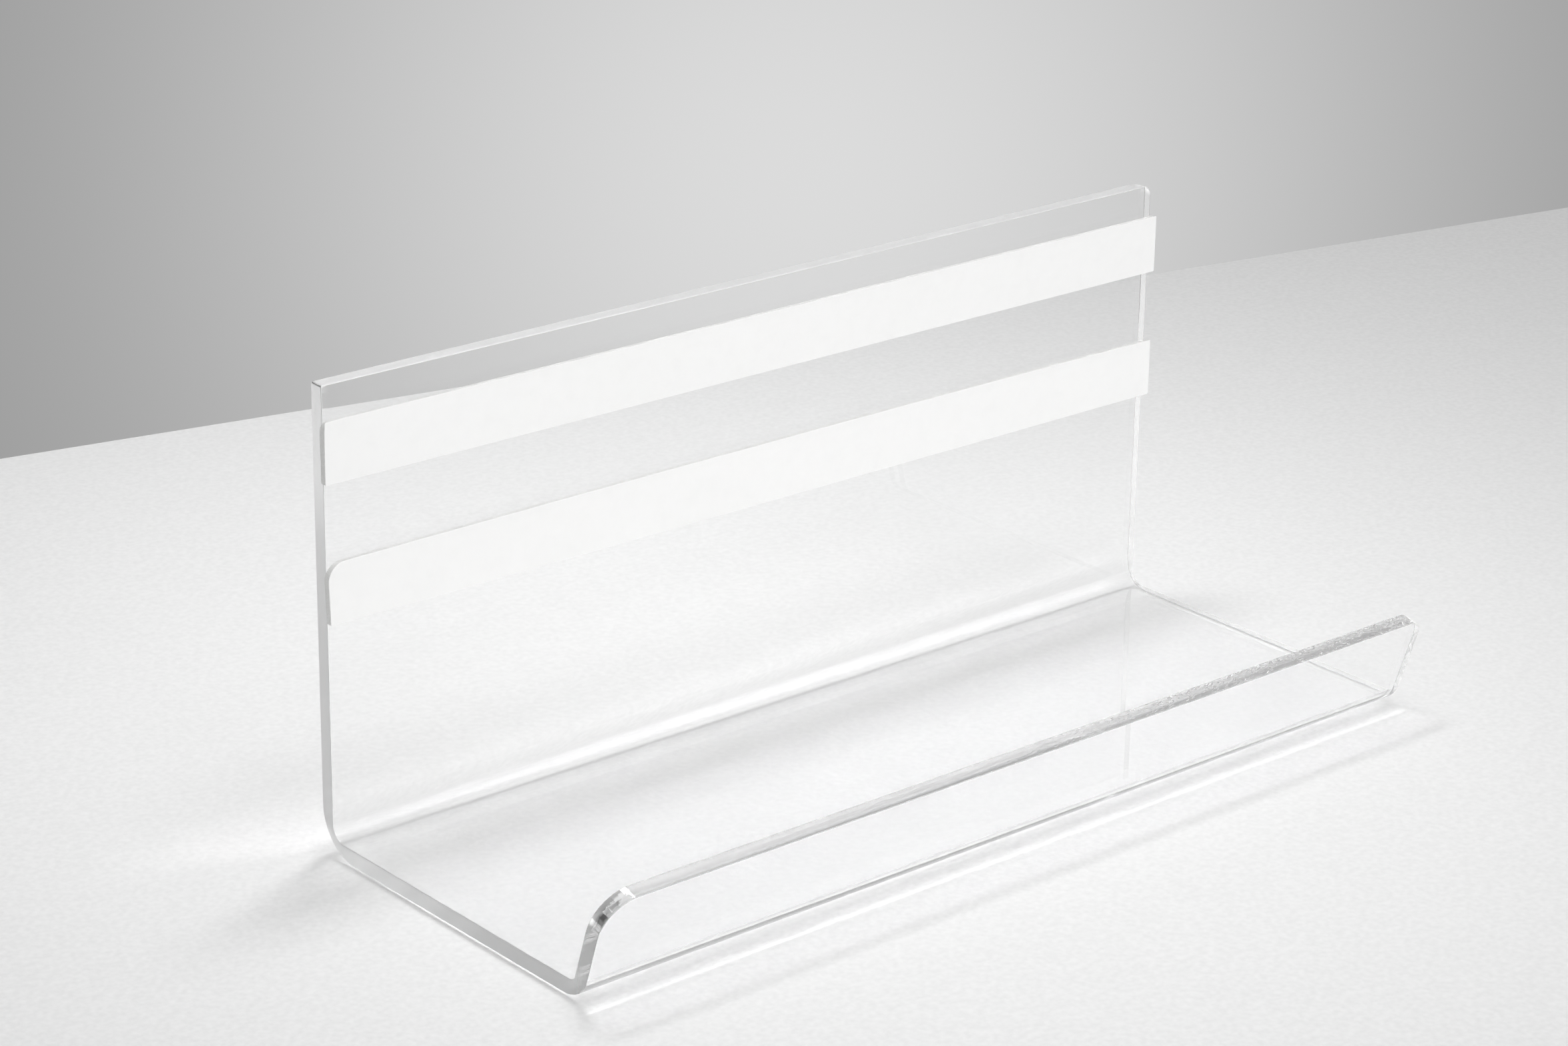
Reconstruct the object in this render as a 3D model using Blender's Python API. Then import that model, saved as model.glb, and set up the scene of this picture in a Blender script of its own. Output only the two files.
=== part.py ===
"""Brochure holder: one clear acrylic sheet, bent along two heated lines into a back panel, a tray floor and
a lip that leans outwards, with two strips of double-sided foam tape on the panel's front face, each under
its release liner.

Metres, +Z up. X runs along the width, the lip is towards -Y, and the tray floor stands on Z = 0. The origin
lies below the middle of the whole object."""

import math
from bisect import bisect_right

import bmesh
import bpy
from mathutils import Vector

# Acrylic sheet
SHEET_WIDTH = 0.260
SHEET_THICKNESS = 0.004
PANEL_HEIGHT = 0.115
TRAY_DEPTH = 0.091  # from the panel's front face to where the tray floor meets the lip
LIP_LENGTH = 0.024  # up the lip's inner face, from the tray floor
LIP_LEAN = math.radians(17.5)  # outwards from upright
PANEL_LEFT_CORNER_RADIUS = 0.0006  # left as cut, a little eased
PANEL_RIGHT_CORNER_RADIUS = 0.0025
LIP_LEFT_CORNER_RADIUS = 0.0095
LIP_RIGHT_CORNER_RADIUS = 0.0050
EDGE_POLISH = 0.0004  # rounding that flame polishing leaves on the cut edges

# Heated bends. The outer side stretches, so the sheet is thinner at the middle of a bend.
BACK_BEND_RADIUS = 0.004  # inside the bend
BACK_BEND_REMAINS = 0.58  # share of the sheet's thickness left at the middle of the bend
LIP_BEND_RADIUS = 0.002
LIP_BEND_REMAINS = 0.85

# Foam tape strips and their liners
STRIP_WIDTH = 0.015
STRIP_OVERHANG = 0.0007  # past each side of the sheet
UPPER_STRIP_DROP = 0.008  # from the panel's top edge to the upper strip
STRIP_GAP = 0.019  # between the two strips
TAPE_THICKNESS = 0.0016
LINER_THICKNESS = 0.00015
BOND_LINE = 0.00005  # hairline left where two layers meet
UPPER_TAPE_CORNER_RADIUS = 0.0022  # top left corner, torn away under the liner
UPPER_LINER_CORNER_RADIUS = 0.0004
LOWER_STRIP_CORNER_RADIUS = 0.0045  # top left corner, cut round in tape and liner alike
LOWER_STRIP_BOW = 0.0005  # rise of the hand-laid strip's top edge at mid-length

# Facets
BEND_STEPS = 16
CORNER_STEPS = 12
BOW_STEPS = 16
POLISH_SEGMENTS = 3
SMOOTH_ANGLE = math.radians(35)
MERGE_DISTANCE = 1e-6

# Places that follow from the sizes
LIP_TURN = math.pi / 2 - LIP_LEAN
LIP_UP = Vector((-math.sin(LIP_LEAN), math.cos(LIP_LEAN)))
LIP_OUT = Vector((-math.cos(LIP_LEAN), -math.sin(LIP_LEAN)))
LIP_REACH = LIP_LENGTH * math.sin(LIP_LEAN) + SHEET_THICKNESS * math.cos(LIP_LEAN)
OVERALL_DEPTH = SHEET_THICKNESS + TRAY_DEPTH + LIP_REACH
PANEL_FACE_Y = OVERALL_DEPTH / 2 - SHEET_THICKNESS
STRIP_LENGTH = SHEET_WIDTH + 2 * STRIP_OVERHANG
UPPER_STRIP_Z = PANEL_HEIGHT - UPPER_STRIP_DROP - STRIP_WIDTH / 2
LOWER_STRIP_Z = UPPER_STRIP_Z - STRIP_GAP - STRIP_WIDTH


def clear_scene():
    """Empty the scene before building."""
    for old in list(bpy.data.objects):
        bpy.data.objects.remove(old, do_unlink=True)


def make_material(name, colour, roughness, transmission=0.0, ior=1.5):
    """A Principled material with a plain colour."""
    material = bpy.data.materials.new(name)
    material.use_nodes = True
    shader = material.node_tree.nodes["Principled BSDF"]
    shader.inputs["Base Color"].default_value = (*colour, 1.0)
    shader.inputs["Roughness"].default_value = roughness
    shader.inputs["Metallic"].default_value = 0.0
    shader.inputs["Transmission Weight"].default_value = transmission
    shader.inputs["IOR"].default_value = ior
    return material


def make_object(name, mesh_builder, material, parent, location=(0.0, 0.0, 0.0)):
    """A named object with outward faces and smooth round stretches, placed under its parent."""
    mesh = bpy.data.meshes.new(name)
    bmesh.ops.recalc_face_normals(mesh_builder, faces=mesh_builder.faces)
    mesh_builder.to_mesh(mesh)
    mesh_builder.free()
    mesh.shade_smooth()
    mesh.set_sharp_from_angle(angle=SMOOTH_ANGLE)
    mesh.materials.append(material)
    obj = bpy.data.objects.new(name, mesh)
    bpy.context.collection.objects.link(obj)
    obj.parent = parent
    obj.location = location
    return obj


def bend_arc(before, corner, after, radius):
    """Points of the arc that rounds a corner of a (y, z) path, from the side before to the side after."""
    arriving = (corner - before).normalized()
    leaving = (after - corner).normalized()
    turn = arriving.angle(leaving)
    setback = radius * math.tan(turn / 2)
    start = corner - arriving * setback
    to_centre = (leaving - arriving * arriving.dot(leaving)).normalized()
    centre = start + to_centre * radius
    points = []
    for step in range(BEND_STEPS + 1):
        angle = turn * step / BEND_STEPS
        points.append(centre - to_centre * radius * math.cos(angle) + arriving * radius * math.sin(angle))
    return points


def outer_radius(inner_radius, turn, remains):
    """Outside radius of a bend that leaves a share of the sheet's thickness at its middle."""
    corner_share = 1 / math.cos(turn / 2)
    return inner_radius + SHEET_THICKNESS * (corner_share - remains) / (corner_share - 1)


def bent_lines():
    """Inner and outer lines of the bent sheet in (y, z), from the panel's top to the lip's top."""
    across = Vector((SHEET_THICKNESS, 0.0))
    panel_top = Vector((PANEL_FACE_Y, PANEL_HEIGHT))
    back_corner = Vector((PANEL_FACE_Y, SHEET_THICKNESS))
    lip_corner = Vector((PANEL_FACE_Y - TRAY_DEPTH, SHEET_THICKNESS))
    lip_top = lip_corner + LIP_UP * LIP_LENGTH
    lip_top_outer = lip_top + LIP_OUT * SHEET_THICKNESS
    back_corner_outer = back_corner + Vector((SHEET_THICKNESS, -SHEET_THICKNESS))
    lip_mitre = SHEET_THICKNESS * math.tan(LIP_TURN / 2)
    lip_corner_outer = lip_corner - Vector((lip_mitre, SHEET_THICKNESS))
    back_outer_radius = outer_radius(BACK_BEND_RADIUS, math.pi / 2, BACK_BEND_REMAINS)
    lip_outer_radius = outer_radius(LIP_BEND_RADIUS, LIP_TURN, LIP_BEND_REMAINS)
    inner = [panel_top]
    inner += bend_arc(panel_top, back_corner, lip_corner, BACK_BEND_RADIUS)
    inner += bend_arc(back_corner, lip_corner, lip_top, LIP_BEND_RADIUS)
    inner.append(lip_top)
    outer = [panel_top + across]
    outer += bend_arc(panel_top + across, back_corner_outer, lip_corner_outer, back_outer_radius)
    outer += bend_arc(back_corner_outer, lip_corner_outer, lip_top_outer, lip_outer_radius)
    outer.append(lip_top_outer)
    return inner, outer


def blank_outline(length):
    """Outline of the flat blank in (x, s), where s runs from the panel's top edge to the lip's."""
    half = SHEET_WIDTH / 2
    corners = (
        (PANEL_LEFT_CORNER_RADIUS - half, PANEL_LEFT_CORNER_RADIUS, PANEL_LEFT_CORNER_RADIUS),
        (half - PANEL_RIGHT_CORNER_RADIUS, PANEL_RIGHT_CORNER_RADIUS, PANEL_RIGHT_CORNER_RADIUS),
        (half - LIP_RIGHT_CORNER_RADIUS, length - LIP_RIGHT_CORNER_RADIUS, LIP_RIGHT_CORNER_RADIUS),
        (LIP_LEFT_CORNER_RADIUS - half, length - LIP_LEFT_CORNER_RADIUS, LIP_LEFT_CORNER_RADIUS),
    )
    points = []
    for quarter, (x, s, radius) in enumerate(corners):
        for step in range(CORNER_STEPS + 1):
            angle = math.pi + math.pi / 2 * (quarter + step / CORNER_STEPS)
            points.append((x + radius * math.cos(angle), s + radius * math.sin(angle)))
    return points


def build_sheet(material, parent):
    """The acrylic sheet: a flat blank with polished edges, bent along its two heated lines."""
    inner, outer = bent_lines()
    middle = [(near + far) / 2 for near, far in zip(inner, outer)]
    stations = [0.0]
    for point, following in zip(middle, middle[1:]):
        stations.append(stations[-1] + (following - point).length)

    builder = bmesh.new()
    face = builder.faces.new([builder.verts.new((x, s, 0.0)) for x, s in blank_outline(stations[-1])])
    grown = bmesh.ops.extrude_face_region(builder, geom=[face])
    moved = [item for item in grown["geom"] if isinstance(item, bmesh.types.BMVert)]
    bmesh.ops.translate(builder, verts=moved, vec=(0.0, 0.0, SHEET_THICKNESS))
    rim = [edge for edge in builder.edges if edge.verts[0].co.z == edge.verts[1].co.z]
    bmesh.ops.bevel(
        builder, geom=rim, offset=EDGE_POLISH, segments=POLISH_SEGMENTS, profile=0.5, affect="EDGES"
    )
    for station in stations[1:-1]:
        everything = builder.verts[:] + builder.edges[:] + builder.faces[:]
        bmesh.ops.bisect_plane(
            builder, geom=everything, dist=MERGE_DISTANCE,
            plane_co=(0.0, station, 0.0), plane_no=(0.0, 1.0, 0.0),
        )
    for vert in builder.verts:
        x, s, depth = vert.co
        row = max(1, min(bisect_right(stations, s), len(stations) - 1))
        share = (s - stations[row - 1]) / (stations[row] - stations[row - 1])
        near = inner[row - 1].lerp(inner[row], share)
        far = outer[row - 1].lerp(outer[row], share)
        place = near.lerp(far, depth / SHEET_THICKNESS)
        vert.co = (x, place.x, place.y)
    return make_object("acrylic_holder", builder, material, parent)


def strip_outline(corner_radius, bow):
    """Outline of a strip about its centre, in (x, z), with one round corner and a bowed top edge."""
    half_length = STRIP_LENGTH / 2
    half_width = STRIP_WIDTH / 2
    points = [(-half_length, -half_width), (half_length, -half_width)]
    top_end = corner_radius - half_length
    top_steps = BOW_STEPS if bow else 1
    for step in range(top_steps + 1):
        share = step / top_steps
        rise = bow * 4 * share * (1 - share)
        points.append((half_length + (top_end - half_length) * share, half_width + rise))
    for step in range(1, CORNER_STEPS + 1):
        angle = math.pi / 2 * step / CORNER_STEPS
        left = top_end - corner_radius * math.sin(angle)
        points.append((left, half_width - corner_radius * (1 - math.cos(angle))))
    return points


def build_strip(name, thickness, corner_radius, bow, material, parent, location):
    """One flat layer of an adhesive strip, its faces towards -Y and +Y."""
    builder = bmesh.new()
    outline = strip_outline(corner_radius, bow)
    face = builder.faces.new([builder.verts.new((x, -thickness / 2, z)) for x, z in outline])
    grown = bmesh.ops.extrude_face_region(builder, geom=[face])
    moved = [item for item in grown["geom"] if isinstance(item, bmesh.types.BMVert)]
    bmesh.ops.translate(builder, verts=moved, vec=(0.0, thickness, 0.0))
    return make_object(name, builder, material, parent, location)


def build_holder():
    """The whole holder, its pieces placed under one empty."""
    acrylic = make_material("clear_acrylic", (0.97, 0.98, 0.98), 0.03, transmission=1.0, ior=1.49)
    foam = make_material("white_foam_tape", (0.78, 0.78, 0.77), 0.85)
    paper = make_material("white_release_liner", (0.92, 0.92, 0.91), 0.6)
    holder = bpy.data.objects.new("brochure_holder", None)
    bpy.context.collection.objects.link(holder)
    build_sheet(acrylic, holder)
    tape_y = PANEL_FACE_Y - BOND_LINE - TAPE_THICKNESS / 2
    liner_place = (0.0, -(TAPE_THICKNESS + LINER_THICKNESS) / 2 - BOND_LINE, 0.0)
    strips = (
        ("upper", UPPER_STRIP_Z, UPPER_TAPE_CORNER_RADIUS, UPPER_LINER_CORNER_RADIUS, 0.0),
        ("lower", LOWER_STRIP_Z, LOWER_STRIP_CORNER_RADIUS, LOWER_STRIP_CORNER_RADIUS, LOWER_STRIP_BOW),
    )
    for place, height, tape_corner, liner_corner, bow in strips:
        tape = build_strip(
            f"{place}_tape", TAPE_THICKNESS, tape_corner, bow, foam, holder, (0.0, tape_y, height)
        )
        build_strip(
            f"{place}_release_liner", LINER_THICKNESS, liner_corner, bow, paper, tape, liner_place
        )


clear_scene()
build_holder()
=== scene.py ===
"""The looks of the brochure holder: bent clear acrylic, two foam tape strips and their paper liners,
standing on a pale table under soft studio light. Metres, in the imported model's frame: X along the width,
the lip towards -Y."""

import math

import bmesh
import bpy
import numpy as np
from mathutils import Matrix, Vector, noise


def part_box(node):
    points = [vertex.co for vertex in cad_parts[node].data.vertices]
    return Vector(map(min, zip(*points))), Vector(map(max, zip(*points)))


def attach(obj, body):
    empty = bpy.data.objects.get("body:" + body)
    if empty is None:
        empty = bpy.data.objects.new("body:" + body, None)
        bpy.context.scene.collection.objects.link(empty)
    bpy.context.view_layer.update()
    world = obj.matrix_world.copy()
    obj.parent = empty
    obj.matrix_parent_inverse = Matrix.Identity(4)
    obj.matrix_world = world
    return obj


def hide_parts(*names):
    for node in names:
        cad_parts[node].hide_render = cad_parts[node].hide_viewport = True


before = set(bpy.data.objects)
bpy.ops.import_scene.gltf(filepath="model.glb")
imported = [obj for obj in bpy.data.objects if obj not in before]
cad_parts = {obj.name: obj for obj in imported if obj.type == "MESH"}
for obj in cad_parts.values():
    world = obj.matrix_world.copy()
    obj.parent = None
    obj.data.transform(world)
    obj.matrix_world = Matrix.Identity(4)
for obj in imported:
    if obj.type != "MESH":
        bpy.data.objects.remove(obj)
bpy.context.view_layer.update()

# The sheet's sizes, from the frame
SHEET_LOW, SHEET_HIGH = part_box("acrylic_holder")
SHEET_WIDTH = SHEET_HIGH.x - SHEET_LOW.x
PANEL_HEIGHT = SHEET_HIGH.z
PANEL_BACK_Y = SHEET_HIGH.y

# The sheet's other sizes
THICKNESS = 0.004
LIP_LENGTH = 0.024
LIP_LEAN = math.radians(17.5)
BACK_BEND = {"inner": 0.004, "remains": 0.58}
LIP_BEND = {"inner": 0.002, "remains": 0.85}
PANEL_LEFT_CORNER = 0.0006
PANEL_RIGHT_CORNER = 0.0025
LIP_LEFT_CORNER = 0.0095
LIP_RIGHT_CORNER = 0.0050
SHEET_RIM = 0.0002

# The strips: corner radii are those of the top left corner, the other corners are square
STRIPS = {
    "upper": {"tape_corner": 0.0022, "liner_corner": 0.0004, "bow": 0.0, "slant": 0.0},
    "lower": {"tape_corner": 0.0045, "liner_corner": 0.0045, "bow": 0.0005, "slant": 0.0005},
}
SQUARE_CORNER = 0.0003
SLANT_POWER = 8
TAPE_RIM = 0.00012
TAPE_RAGGEDNESS = 0.00016
RAGGED_REACH = 0.001
TEAR_LONG = 300
TEAR_COARSE = 900
TEAR_FINE = 2500
TAPE_DROP = 0.0003
LINER_RIM = 0.00004
LINER_WAVE = 0.00008
WAVE_ALONG = 25
WAVE_DOWN = 60
WAVE_SEED = 3.0
LINER_LIFT = 0.0003
LIFT_REACH = 0.006

# Mesh steps
ROW_STEP = 0.003
STRIP_ROW_STEP = 0.0006
BEND_STEPS = 36
CORNER_STEPS = 12
RIM_STEPS = 5
SHEET_COLUMNS = 96
STRIP_COLUMNS = 150
COLUMN_CROWDING = 0.4
SHEET_WALL_RINGS = 1
TAPE_WALL_RINGS = 5
LINER_WALL_RINGS = 1
LEAST_STEP = 1e-6
LARGE_FACES_FIRST = 100

# Finishes. A grain is a number of grains per metre along X, Y and Z.
UNIT = (0.0, 1.0)
ACRYLIC_COLOUR = (0.998, 0.999, 0.999, 1.0)
ACRYLIC_IOR = 1.49
SMEAR_GRAIN = (60, 60, 90)
SMEAR_RANGE = (0.55, 0.8)
SMEAR_ROUGHNESS = 0.02
WAVINESS_GRAIN = (22, 22, 22)
SHEET_WAVINESS = 0.00002
ROUGH_EDGE_X = (-0.02, 0.09)
LIP_EDGE_Y = (-0.047, -0.043)
SATIN_ROUGHNESS = 0.3
LIP_EDGE_ROUGHNESS = 0.05
RIGHT_END_ROUGHNESS = 0.03
RIGHT_END_X = (0.128, 0.1296)
SWIRL_GRAIN = (380, 380, 380)
SWIRL_DEPTH = 0.00001
STREAK_GRAIN = (30, 700, 700)
STREAK_DEPTH = 0.00006
STREAK_STRENGTH = (0.08, 1.0)
FLAKE_GRAIN = (420, 900, 900)
FLAKE_RANGE = (0.5, 0.58)
FLAKE_DEPTH = 0.00006
FOAM_CELL = 0.00022
FOAM_PIT_RANGE = (0.0, 0.7)
FOAM_PIT_SHARE = 0.4
FOAM_ROUGHNESS = 0.85
# The first of these foam colours is painted shade, darker at the bottom of the pits; the second is the
# foam's own pale colour.
FOAM_PIT_SHADE = (0.74, 0.74, 0.73)
FOAM_PALE = (0.86, 0.86, 0.85)
PAPER_DARK = (0.935, 0.935, 0.93)
PAPER_PALE = (0.955, 0.955, 0.95)
MOTTLE_GRAIN = (250, 250, 250)
MOTTLE_RANGE = (0.3, 0.7)
PAPER_ROUGHNESS = (0.6, 0.48)
FIBRE_GRAIN = (1500, 3500, 3500)
PAPER_RELIEF = 0.00001
TABLE_DARK = (0.815, 0.815, 0.815)
TABLE_PALE = (0.875, 0.875, 0.875)
SPECK_GRAIN = (650, 650, 650)
SPECK_RANGE = (0.3, 0.7)
TABLE_ROUGHNESS = 0.6
TABLE_GRAIN = (550, 550, 550)
TABLE_RELIEF = 0.00014

# Camera, fitted to the edges of the object in the 2350 by 1568 pixel frame
IMAGE_WIDTH = 2350
FOCAL_PIXELS = 6118.84
SENSOR_WIDTH = 36.0
CAMERA_PLACE = Vector((-0.608914, -0.667127, 0.411626))
CAMERA_AZIMUTH = math.radians(-40.646)
CAMERA_ELEVATION = math.radians(20.950)
CAMERA_ROLL = math.radians(0.871)
CAMERA_REACH = 50.0

# Stage
FLOOR_Z = -0.0004
TABLE_EDGE = (Vector((-0.044, 0.329)), Vector((0.503, 0.219)))
TABLE_REACH = 6.0

# Light. Azimuths run clockwise from +Y, and a glow fades from its inner to its outer angle.
ROOM_BRIGHTNESS = 0.332
GLOWS = (
    {"azimuth": 36, "elevation": 20, "inner": 16, "outer": 31, "brightness": 0.45},
    {"azimuth": 191, "elevation": 13, "inner": 22, "outer": 42, "brightness": 1.6},
    {"azimuth": -41, "elevation": 22, "inner": 8, "outer": 20, "brightness": 0.4},
    {"azimuth": 41, "elevation": -16, "inner": 0, "outer": 14, "brightness": 0.38},
)
SOFTBOXES = (
    {
        "name": "rear_softbox", "place": (0.06, 0.15, 0.55), "target": (0.02, 0.12, 0.0),
        "size": (0.16, 0.08), "power": 0.288, "spread": 90,
    },
    {
        "name": "near_softbox", "place": (0.0, -0.28, 0.65), "target": (0.0, -0.035, 0.0),
        "size": (0.4, 0.3), "power": 0.195, "spread": 75,
    },
    {
        "name": "overhead_softbox", "place": (0.0, 0.0, 1.2), "target": (0.0, 0.0, 0.0),
        "size": (1.0, 1.0), "power": 3.0, "spread": 180,
    },
)
BOUNCES = 64
TRANSMISSION_BOUNCES = 32


def outline_side(s, length, start_radius, end_radius):
    """How far a side of a rounded outline is drawn in at s along its length, and its direction outward."""
    if s < start_radius:
        lean = min(1.0, (start_radius - s) / start_radius)
        rise = math.sqrt(1 - lean * lean)
        return start_radius * (1 - rise), (rise, -lean)
    if s > length - end_radius:
        lean = min(1.0, (s - length + end_radius) / end_radius)
        rise = math.sqrt(1 - lean * lean)
        return end_radius * (1 - rise), (rise, lean)
    return 0.0, (1.0, 0.0)


def corner_rows(length, start_radius, end_radius):
    """Places of the rows that round a side's two corners."""
    rows = []
    for step in range(CORNER_STEPS + 1):
        drop = 1 - math.cos(math.pi / 2 * step / CORNER_STEPS)
        rows.append(start_radius * drop)
        rows.append(length - end_radius * drop)
    return rows


def plate(name, half_width, length, radii, thickness, rim, wall_rings, rows, columns, place, materials):
    """A closed plate with a rounded rim. radii are its corners' at the start of the left and right side,
    then at their ends. place(x, s, depth) gives the point at x across, s along and depth under the front
    face. The rim and the walls take the last of the materials."""
    width = half_width - rim
    length -= 2 * rim
    left_start, right_start, left_end, right_end = [max(radius - rim, LEAST_STEP) for radius in radii]
    stations = set(corner_rows(length, left_start, left_end))
    stations |= set(corner_rows(length, right_start, right_end))
    stations |= {s - rim for s in rows if 0 < s - rim < length}
    ordered = []
    for s in sorted(stations):
        if not ordered or s - ordered[-1] > LEAST_STEP:
            ordered.append(s)

    shares = []
    for column in range(columns + 1):
        even = 2 * column / columns - 1
        shares.append((1 - COLUMN_CROWDING) * even + COLUMN_CROWDING * math.sin(math.pi / 2 * even))

    grid = []
    outward = {}
    for row, s in enumerate(ordered):
        left_inset, left_out = outline_side(s, length, left_start, left_end)
        right_inset, right_out = outline_side(s, length, right_start, right_end)
        left = left_inset - width
        right = width - right_inset
        grid.append([(left + (right - left) * (share + 1) / 2, s + rim) for share in shares])
        outward[row, 0] = (-left_out[0], left_out[1])
        outward[row, columns] = right_out
    last = len(ordered) - 1
    for column in range(1, columns):
        outward[0, column] = (0.0, -1.0)
        outward[last, column] = (0.0, 1.0)
    around = [(0, column) for column in range(columns)]
    around += [(row, columns) for row in range(last)]
    around += [(last, column) for column in range(columns, 0, -1)]
    around += [(row, 0) for row in range(last, 0, -1)]

    builder = bmesh.new()
    front = [[builder.verts.new(place(x, s, 0.0)) for x, s in row] for row in grid]
    back = [[builder.verts.new(place(x, s, thickness)) for x, s in row] for row in grid]
    for row in range(last):
        for column in range(columns):
            corners = ((row, column), (row, column + 1), (row + 1, column + 1), (row + 1, column))
            builder.faces.new([front[r][c] for r, c in corners])
            builder.faces.new([back[r][c] for r, c in reversed(corners)])
    turns = [math.pi / 2 * step / RIM_STEPS for step in range(1, RIM_STEPS + 1)]
    rounding = [(rim * math.sin(turn), rim * (1 - math.cos(turn))) for turn in turns]
    wall = thickness - 2 * rim
    rings = rounding + [(rim, rim + wall * ring / (wall_rings + 1)) for ring in range(1, wall_rings + 1)]
    rings += [(out, thickness - depth) for out, depth in reversed(rounding)]
    loops = [[front[row][column] for row, column in around]]
    for out, depth in rings:
        loop = []
        for row, column in around:
            x, s = grid[row][column]
            across, along = outward[row, column]
            loop.append(builder.verts.new(place(x + across * out, s + along * out, depth)))
        loops.append(loop)
    loops.append([back[row][column] for row, column in around])
    for near, far in zip(loops, loops[1:]):
        for index in range(len(around)):
            following = (index + 1) % len(around)
            face = builder.faces.new((near[index], far[index], far[following], near[following]))
            face.material_index = len(materials) - 1
    bmesh.ops.recalc_face_normals(builder, faces=builder.faces)
    mesh = bpy.data.meshes.new(name)
    builder.to_mesh(mesh)
    builder.free()
    mesh.shade_smooth()
    for material in materials:
        mesh.materials.append(material)
    piece = bpy.data.objects.new(name, mesh)
    bpy.context.collection.objects.link(piece)
    weighted = piece.modifiers.new("flat_faces_stay_flat", "WEIGHTED_NORMAL")
    weighted.mode = "FACE_AREA"
    weighted.weight = LARGE_FACES_FIRST
    return piece


def bend_arc(before, corner, after, radius):
    """Points of the arc that rounds a corner of a (y, z) path."""
    arriving = (corner - before).normalized()
    leaving = (after - corner).normalized()
    turn = arriving.angle(leaving)
    start = corner - arriving * radius * math.tan(turn / 2)
    to_centre = (leaving - arriving * arriving.dot(leaving)).normalized()
    centre = start + to_centre * radius
    points = []
    for step in range(BEND_STEPS + 1):
        angle = turn * step / BEND_STEPS
        points.append(centre - to_centre * radius * math.cos(angle) + arriving * radius * math.sin(angle))
    return points


def outer_radius(bend, turn):
    """Outside radius of a bend that leaves a share of the sheet's thickness at its middle."""
    corner_share = 1 / math.cos(turn / 2)
    return bend["inner"] + THICKNESS * (corner_share - bend["remains"]) / (corner_share - 1)


def sheet_path():
    """The bent sheet's inner and outer lines in (y, z), from the panel's top to the lip's top."""
    lip_turn = math.pi / 2 - LIP_LEAN
    lip_up = Vector((-math.sin(LIP_LEAN), math.cos(LIP_LEAN)))
    lip_out = Vector((-math.cos(LIP_LEAN), -math.sin(LIP_LEAN)))
    across = Vector((THICKNESS, 0.0))
    top = Vector((PANEL_BACK_Y - THICKNESS, PANEL_HEIGHT))
    back_corner = Vector((top.x, THICKNESS))
    lip_top_y = SHEET_LOW.y + THICKNESS * math.cos(LIP_LEAN)
    lip_corner = Vector((lip_top_y + LIP_LENGTH * math.sin(LIP_LEAN), THICKNESS))
    lip_top = lip_corner + lip_up * LIP_LENGTH
    lip_top_outside = lip_top + lip_out * THICKNESS
    back_outside = back_corner + Vector((THICKNESS, -THICKNESS))
    lip_outside = lip_corner - Vector((THICKNESS * math.tan(lip_turn / 2), THICKNESS))
    inner = [top]
    outer = [top + across]
    inner += bend_arc(top, back_corner, lip_corner, BACK_BEND["inner"])
    outer += bend_arc(top + across, back_outside, lip_outside, outer_radius(BACK_BEND, math.pi / 2))
    inner += bend_arc(back_corner, lip_corner, lip_top, LIP_BEND["inner"])
    outer += bend_arc(back_outside, lip_outside, lip_top_outside, outer_radius(LIP_BEND, lip_turn))
    inner.append(lip_top)
    outer.append(lip_top_outside)
    return np.array(inner), np.array(outer)


def build_sheet(materials):
    """The bent acrylic sheet, its rims slightly rounded."""
    inner, outer = sheet_path()
    middle = (inner + outer) / 2
    along = np.concatenate([[0.0], np.cumsum(np.linalg.norm(np.diff(middle, axis=0), axis=1))])
    length = along[-1]
    rows = list(along)
    for start, end in zip(along, along[1:]):
        extra = int((end - start) / ROW_STEP)
        rows += [start + (end - start) * step / (extra + 1) for step in range(1, extra + 1)]

    def place(x, s, depth):
        """Point of the sheet, depth from its inner face towards its outer face."""
        share = depth / THICKNESS
        sides = []
        for line in (inner, outer):
            point = Vector((np.interp(s, along, line[:, 0]), np.interp(s, along, line[:, 1])))
            if s < 0:
                point += Vector(line[0] - line[1]).normalized() * -s
            if s > length:
                point += Vector(line[-1] - line[-2]).normalized() * (s - length)
            sides.append(point)
        point = sides[0].lerp(sides[1], share)
        return x, point.x, point.y

    radii = (PANEL_LEFT_CORNER, PANEL_RIGHT_CORNER, LIP_LEFT_CORNER, LIP_RIGHT_CORNER)
    return plate(
        "bent_acrylic_sheet", SHEET_WIDTH / 2, length, radii, THICKNESS, SHEET_RIM, SHEET_WALL_RINGS,
        rows, SHEET_COLUMNS, place, materials,
    )


def strip_rows(length):
    """Evenly spaced rows down a strip."""
    count = int(length / STRIP_ROW_STEP)
    return [length * step / count for step in range(1, count)]


def bow_at(x, half_width, bow):
    """Rise of a hand-laid strip's top edge at x."""
    share = (x + half_width) / (2 * half_width)
    return bow * 4 * share * (1 - share)


def left_slant(x, down, half_width, slant):
    """How far a strip's end, cut askew, is drawn in at x, a share of the way down from its top edge."""
    return slant * down * max(0.0, -x / half_width) ** SLANT_POWER


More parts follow.
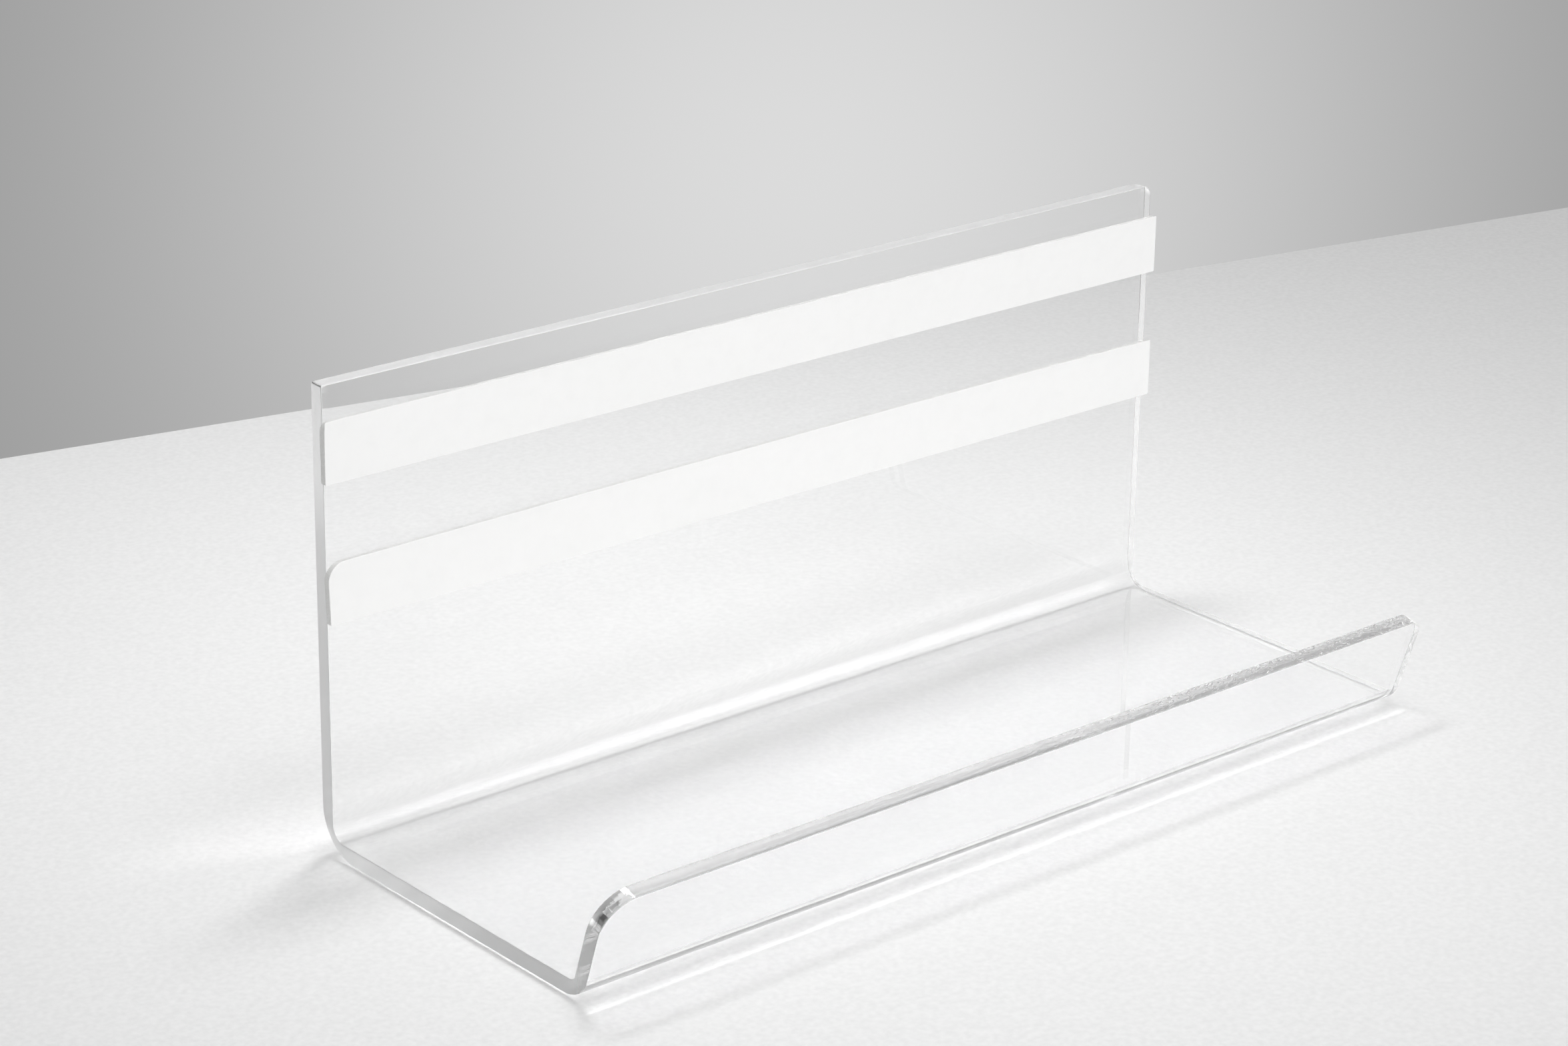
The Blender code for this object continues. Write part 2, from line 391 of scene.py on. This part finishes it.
def build_tape(strip, sizes, material):
    """A foam tape strip, its ends torn a little ragged."""
    low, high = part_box(f"{strip}_tape")
    half_width = (high.x - low.x) / 2
    length = high.z - sizes["bow"] - low.z

    def place(x, s, depth):
        """Point of the strip, s down from its top edge."""
        drop = TAPE_DROP + s * (1 - TAPE_DROP / length)
        z = high.z - sizes["bow"] + bow_at(x, half_width, sizes["bow"]) * (1 - drop / length) - drop
        y = low.y + depth
        near_end = max(0.0, (abs(x) - half_width + RAGGED_REACH) / RAGGED_REACH)
        rough = noise.noise(Vector((x * TEAR_LONG, y * TEAR_COARSE, z * TEAR_COARSE)))
        rough += noise.noise(Vector((y * TEAR_FINE, z * TEAR_FINE, x)))
        x += math.copysign(TAPE_RAGGEDNESS * near_end * rough * 0.5, x)
        return x + left_slant(x, s / length, half_width, sizes["slant"]), y, z

    radii = (sizes["tape_corner"], SQUARE_CORNER, SQUARE_CORNER, SQUARE_CORNER)
    tape = plate(
        f"{strip}_foam_tape", half_width, length, radii, high.y - low.y, TAPE_RIM, TAPE_WALL_RINGS,
        strip_rows(length), STRIP_COLUMNS, place, [material],
    )
    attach(tape, "holder")
    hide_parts(f"{strip}_tape")


def build_liner(strip, sizes, material):
    """A paper release liner, not quite flat, its top left corner a little off the tape."""
    low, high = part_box(f"{strip}_release_liner")
    half_width = (high.x - low.x) / 2
    length = high.z - sizes["bow"] - low.z

    def place(x, s, depth):
        """Point of the liner, s down from its top edge. It only rises to the front, away from the tape."""
        z = high.z - sizes["bow"] + bow_at(x, half_width, sizes["bow"]) * (1 - s / length) - s
        wave = LINER_WAVE * (0.5 + 0.5 * noise.noise(Vector((x * WAVE_ALONG, z * WAVE_DOWN, WAVE_SEED))))
        corner = math.hypot(x + half_width, s)
        lift = LINER_LIFT * max(0.0, 1 - corner / LIFT_REACH) ** 2
        x += left_slant(x, s / length, half_width, sizes["slant"])
        return x, low.y + depth - wave - lift, z

    radii = (sizes["liner_corner"], SQUARE_CORNER, SQUARE_CORNER, SQUARE_CORNER)
    liner = plate(
        f"{strip}_liner_paper", half_width, length, radii, high.y - low.y, LINER_RIM, LINER_WALL_RINGS,
        strip_rows(length), STRIP_COLUMNS, place, [material],
    )
    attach(liner, f"{strip}_liner")
    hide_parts(f"{strip}_release_liner")


def new_material(name):
    """A material with its Principled shader."""
    material = bpy.data.materials.new(name)
    material.use_nodes = True
    return material, material.node_tree.nodes["Principled BSDF"]


def grain(tree, scale, detail=2.0, seed=0.0):
    """A noise texture in the object's own metres. scale is grains per metre along X, Y and Z."""
    place = tree.nodes.new("ShaderNodeMapping")
    place.inputs["Location"].default_value = (seed, seed, seed)
    place.inputs["Scale"].default_value = scale
    tree.links.new(tree.nodes.new("ShaderNodeTexCoord").outputs["Object"], place.inputs["Vector"])
    texture = tree.nodes.new("ShaderNodeTexNoise")
    texture.inputs["Scale"].default_value = 1.0
    texture.inputs["Detail"].default_value = detail
    tree.links.new(place.outputs["Vector"], texture.inputs["Vector"])
    return texture.outputs["Fac"]


def remap(tree, value, from_range, to_range):
    """A value moved from one range to another, and kept within it."""
    node = tree.nodes.new("ShaderNodeMapRange")
    node.inputs["From Min"].default_value, node.inputs["From Max"].default_value = from_range
    node.inputs["To Min"].default_value, node.inputs["To Max"].default_value = to_range
    tree.links.new(value, node.inputs["Value"])
    return node.outputs["Result"]


def blend_colours(tree, value, dark, light):
    """A colour between two, by a value from 0 to 1."""
    ramp = tree.nodes.new("ShaderNodeValToRGB")
    ramp.color_ramp.elements[0].color = (*dark, 1.0)
    ramp.color_ramp.elements[1].color = (*light, 1.0)
    tree.links.new(value, ramp.inputs["Fac"])
    return ramp.outputs["Color"]


def add_bump(tree, shader, height, distance, strength=1.0):
    """Add relief to a shader, on top of any relief that it has. strength is a number or a socket."""
    bump = tree.nodes.new("ShaderNodeBump")
    bump.inputs["Distance"].default_value = distance
    if isinstance(strength, float):
        bump.inputs["Strength"].default_value = strength
    else:
        tree.links.new(strength, bump.inputs["Strength"])
    tree.links.new(height, bump.inputs["Height"])
    for link in shader.inputs["Normal"].links:
        tree.links.new(link.from_socket, bump.inputs["Normal"])
    tree.links.new(bump.outputs["Normal"], shader.inputs["Normal"])


def acrylic_shader(name):
    """Clear acrylic, still plain."""
    material, shader = new_material(name)
    shader.inputs["Base Color"].default_value = ACRYLIC_COLOUR
    shader.inputs["IOR"].default_value = ACRYLIC_IOR
    shader.inputs["Transmission Weight"].default_value = 1.0
    return material, shader, material.node_tree


def sheet_material():
    """The sheet's faces: glossy, faintly wavy, with a few dull smears."""
    material, shader, tree = acrylic_shader("clear_acrylic")
    smears = remap(tree, grain(tree, SMEAR_GRAIN, 3.0), SMEAR_RANGE, (0.0, SMEAR_ROUGHNESS))
    tree.links.new(smears, shader.inputs["Roughness"])
    add_bump(tree, shader, grain(tree, WAVINESS_GRAIN, 1.0), SHEET_WAVINESS)
    return material


def edge_material():
    """The cut edges: satin, polished on the lip and at the right end, flaky on the lip's right half."""
    material, shader, tree = acrylic_shader("polished_edge")
    place = tree.nodes.new("ShaderNodeSeparateXYZ")
    tree.links.new(tree.nodes.new("ShaderNodeTexCoord").outputs["Object"], place.inputs["Vector"])
    along = remap(tree, place.outputs["X"], ROUGH_EDGE_X, UNIT)
    lip = remap(tree, place.outputs["Y"], LIP_EDGE_Y, (1.0, 0.0))
    flaky = tree.nodes.new("ShaderNodeMath")
    flaky.operation = "MULTIPLY"
    tree.links.new(along, flaky.inputs[0])
    tree.links.new(lip, flaky.inputs[1])
    satin = remap(tree, lip, UNIT, (SATIN_ROUGHNESS, LIP_EDGE_ROUGHNESS))
    right_end = remap(tree, place.outputs["X"], RIGHT_END_X, (1.0, RIGHT_END_ROUGHNESS))
    roughness = tree.nodes.new("ShaderNodeMath")
    roughness.operation = "MINIMUM"
    tree.links.new(satin, roughness.inputs[0])
    tree.links.new(right_end, roughness.inputs[1])
    tree.links.new(roughness.outputs[0], shader.inputs["Roughness"])
    swirls = grain(tree, SWIRL_GRAIN, 1.0, seed=9.0)
    streaks = grain(tree, STREAK_GRAIN, 3.0)
    flakes = remap(tree, grain(tree, FLAKE_GRAIN, 2.0, seed=4.0), FLAKE_RANGE, UNIT)
    add_bump(tree, shader, swirls, SWIRL_DEPTH)
    add_bump(tree, shader, streaks, STREAK_DEPTH, remap(tree, flaky.outputs[0], UNIT, STREAK_STRENGTH))
    add_bump(tree, shader, flakes, FLAKE_DEPTH, flaky.outputs[0])
    return material


def foam_material():
    """Closed-cell foam: pale, matte and finely pitted, with painted shade darkening its pits."""
    material, shader = new_material("white_foam")
    tree = material.node_tree
    cells = tree.nodes.new("ShaderNodeTexVoronoi")
    cells.inputs["Scale"].default_value = 1 / FOAM_CELL
    tree.links.new(tree.nodes.new("ShaderNodeTexCoord").outputs["Object"], cells.inputs["Vector"])
    pits = remap(tree, cells.outputs["Distance"], FOAM_PIT_RANGE, UNIT)
    # The colour follows the pits' depth: painted shade, darker where the relief is lowest.
    tree.links.new(blend_colours(tree, pits, FOAM_PIT_SHADE, FOAM_PALE), shader.inputs["Base Color"])
    shader.inputs["Roughness"].default_value = FOAM_ROUGHNESS
    add_bump(tree, shader, pits, FOAM_CELL * FOAM_PIT_SHARE)
    return material


def paper_material():
    """Smooth white paper with a faint mottle and fibres."""
    material, shader = new_material("liner_paper")
    tree = material.node_tree
    mottle = remap(tree, grain(tree, MOTTLE_GRAIN, 3.0), MOTTLE_RANGE, UNIT)
    tree.links.new(blend_colours(tree, mottle, PAPER_DARK, PAPER_PALE), shader.inputs["Base Color"])
    tree.links.new(remap(tree, mottle, UNIT, PAPER_ROUGHNESS), shader.inputs["Roughness"])
    add_bump(tree, shader, grain(tree, FIBRE_GRAIN, 2.0), PAPER_RELIEF)
    return material


def table_material():
    """A pale matte table top with a fine grain."""
    material, shader = new_material("pale_table")
    tree = material.node_tree
    specks = remap(tree, grain(tree, SPECK_GRAIN, 4.0), SPECK_RANGE, UNIT)
    tree.links.new(blend_colours(tree, specks, TABLE_DARK, TABLE_PALE), shader.inputs["Base Color"])
    shader.inputs["Roughness"].default_value = TABLE_ROUGHNESS
    add_bump(tree, shader, grain(tree, TABLE_GRAIN, 3.0), TABLE_RELIEF)
    return material


def build_camera():
    """The camera at the photograph's place."""
    back = Vector((
        math.sin(CAMERA_AZIMUTH) * math.cos(CAMERA_ELEVATION),
        -math.cos(CAMERA_AZIMUTH) * math.cos(CAMERA_ELEVATION),
        math.sin(CAMERA_ELEVATION),
    ))
    right = (-back).cross(Vector((0.0, 0.0, 1.0))).normalized()
    up = back.cross(right)
    axis_x = right * math.cos(CAMERA_ROLL) + up * math.sin(CAMERA_ROLL)
    axis_y = up * math.cos(CAMERA_ROLL) - right * math.sin(CAMERA_ROLL)
    data = bpy.data.cameras.new("camera")
    data.sensor_fit = "HORIZONTAL"
    data.sensor_width = SENSOR_WIDTH
    data.lens = FOCAL_PIXELS / IMAGE_WIDTH * SENSOR_WIDTH
    data.clip_end = CAMERA_REACH
    camera = bpy.data.objects.new("camera", data)
    turn = Matrix((axis_x, axis_y, back)).transposed()
    camera.matrix_world = Matrix.Translation(CAMERA_PLACE) @ turn.to_4x4()
    bpy.context.collection.objects.link(camera)
    bpy.context.scene.camera = camera


def flat_polygon(name, corners, material):
    """A flat piece of the stage."""
    mesh = bpy.data.meshes.new(name)
    mesh.from_pydata(corners, [], [range(len(corners))])
    mesh.materials.append(material)
    obj = bpy.data.objects.new(name, mesh)
    bpy.context.collection.objects.link(obj)


def build_stage():
    """The table, whose far edge shows behind the holder."""
    start, end = TABLE_EDGE
    along = (end - start).normalized()
    away = Vector((-along.y, along.x))
    middle = (start + end) / 2
    left = middle - along * TABLE_REACH
    right = middle + along * TABLE_REACH
    near = -away * TABLE_REACH
    corners = [(*point, FLOOR_Z) for point in (left + near, right + near, right, left)]
    flat_polygon("table_top", corners, table_material())


def area_light(name, place, target, size, power, spread):
    """A soft rectangular lamp that points at a target, its long sides along X. spread is its beam angle."""
    data = bpy.data.lights.new(name, "AREA")
    data.shape = "RECTANGLE"
    data.size, data.size_y = size
    data.energy = power
    data.spread = math.radians(spread)
    lamp = bpy.data.objects.new(name, data)
    back = (Vector(place) - Vector(target)).normalized()
    side = Vector((1.0, 0.0, 0.0))
    side = (side - back * back.dot(side)).normalized()
    turn = Matrix((side, back.cross(side), back)).transposed()
    lamp.matrix_world = Matrix.Translation(place) @ turn.to_4x4()
    bpy.context.collection.objects.link(lamp)


def add_glow(tree, direction, total, glow):
    """Add a soft round glow on the studio's walls to the world's brightness. Returns the new total."""
    azimuth = math.radians(glow["azimuth"])
    elevation = math.radians(glow["elevation"])
    facing = tree.nodes.new("ShaderNodeVectorMath")
    facing.operation = "DOT_PRODUCT"
    facing.inputs[1].default_value = (
        math.sin(azimuth) * math.cos(elevation),
        math.cos(azimuth) * math.cos(elevation),
        math.sin(elevation),
    )
    tree.links.new(direction, facing.inputs[0])
    angle = tree.nodes.new("ShaderNodeMath")
    angle.operation = "ARCCOSINE"
    tree.links.new(facing.outputs["Value"], angle.inputs[0])
    edge = tree.nodes.new("ShaderNodeMapRange")
    edge.interpolation_type = "SMOOTHSTEP"
    edge.inputs["From Min"].default_value = math.radians(glow["inner"])
    edge.inputs["From Max"].default_value = math.radians(glow["outer"])
    edge.inputs["To Min"].default_value = glow["brightness"]
    edge.inputs["To Max"].default_value = 0.0
    tree.links.new(angle.outputs[0], edge.inputs["Value"])
    both = tree.nodes.new("ShaderNodeMath")
    both.operation = "ADD"
    if total is None:
        both.inputs[0].default_value = ROOM_BRIGHTNESS
    else:
        tree.links.new(total, both.inputs[0])
    tree.links.new(edge.outputs["Result"], both.inputs[1])
    return both.outputs[0]


def build_light():
    """Soft studio light: a dim room with glowing walls behind and in front, and three softboxes overhead."""
    world = bpy.data.worlds.new("studio")
    bpy.context.scene.world = world
    world.use_nodes = True
    tree = world.node_tree
    direction = tree.nodes.new("ShaderNodeTexCoord").outputs["Generated"]
    total = None
    for glow in GLOWS:
        total = add_glow(tree, direction, total, glow)
    tree.links.new(total, tree.nodes["Background"].inputs["Strength"])
    tree.nodes["Background"].inputs["Color"].default_value = (1.0, 1.0, 1.0, 1.0)
    for lamp in SOFTBOXES:
        area_light(**lamp)


build_camera()
build_stage()
build_light()

sheet = build_sheet([sheet_material(), edge_material()])
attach(sheet, "holder")
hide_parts("acrylic_holder")

foam = foam_material()
paper = paper_material()
for strip, sizes in STRIPS.items():
    build_tape(strip, sizes, foam)
    build_liner(strip, sizes, paper)

scene = bpy.context.scene
scene.view_settings.view_transform = "Standard"
scene.cycles.max_bounces = BOUNCES
scene.cycles.glossy_bounces = BOUNCES
scene.cycles.transmission_bounces = TRANSMISSION_BOUNCES
scene.cycles.sample_clamp_indirect = 0.0
# Light that comes through the sheet keeps its direction, so the tray stays bright and the shadows crisp
scene.cycles.blur_glossy = 0.0
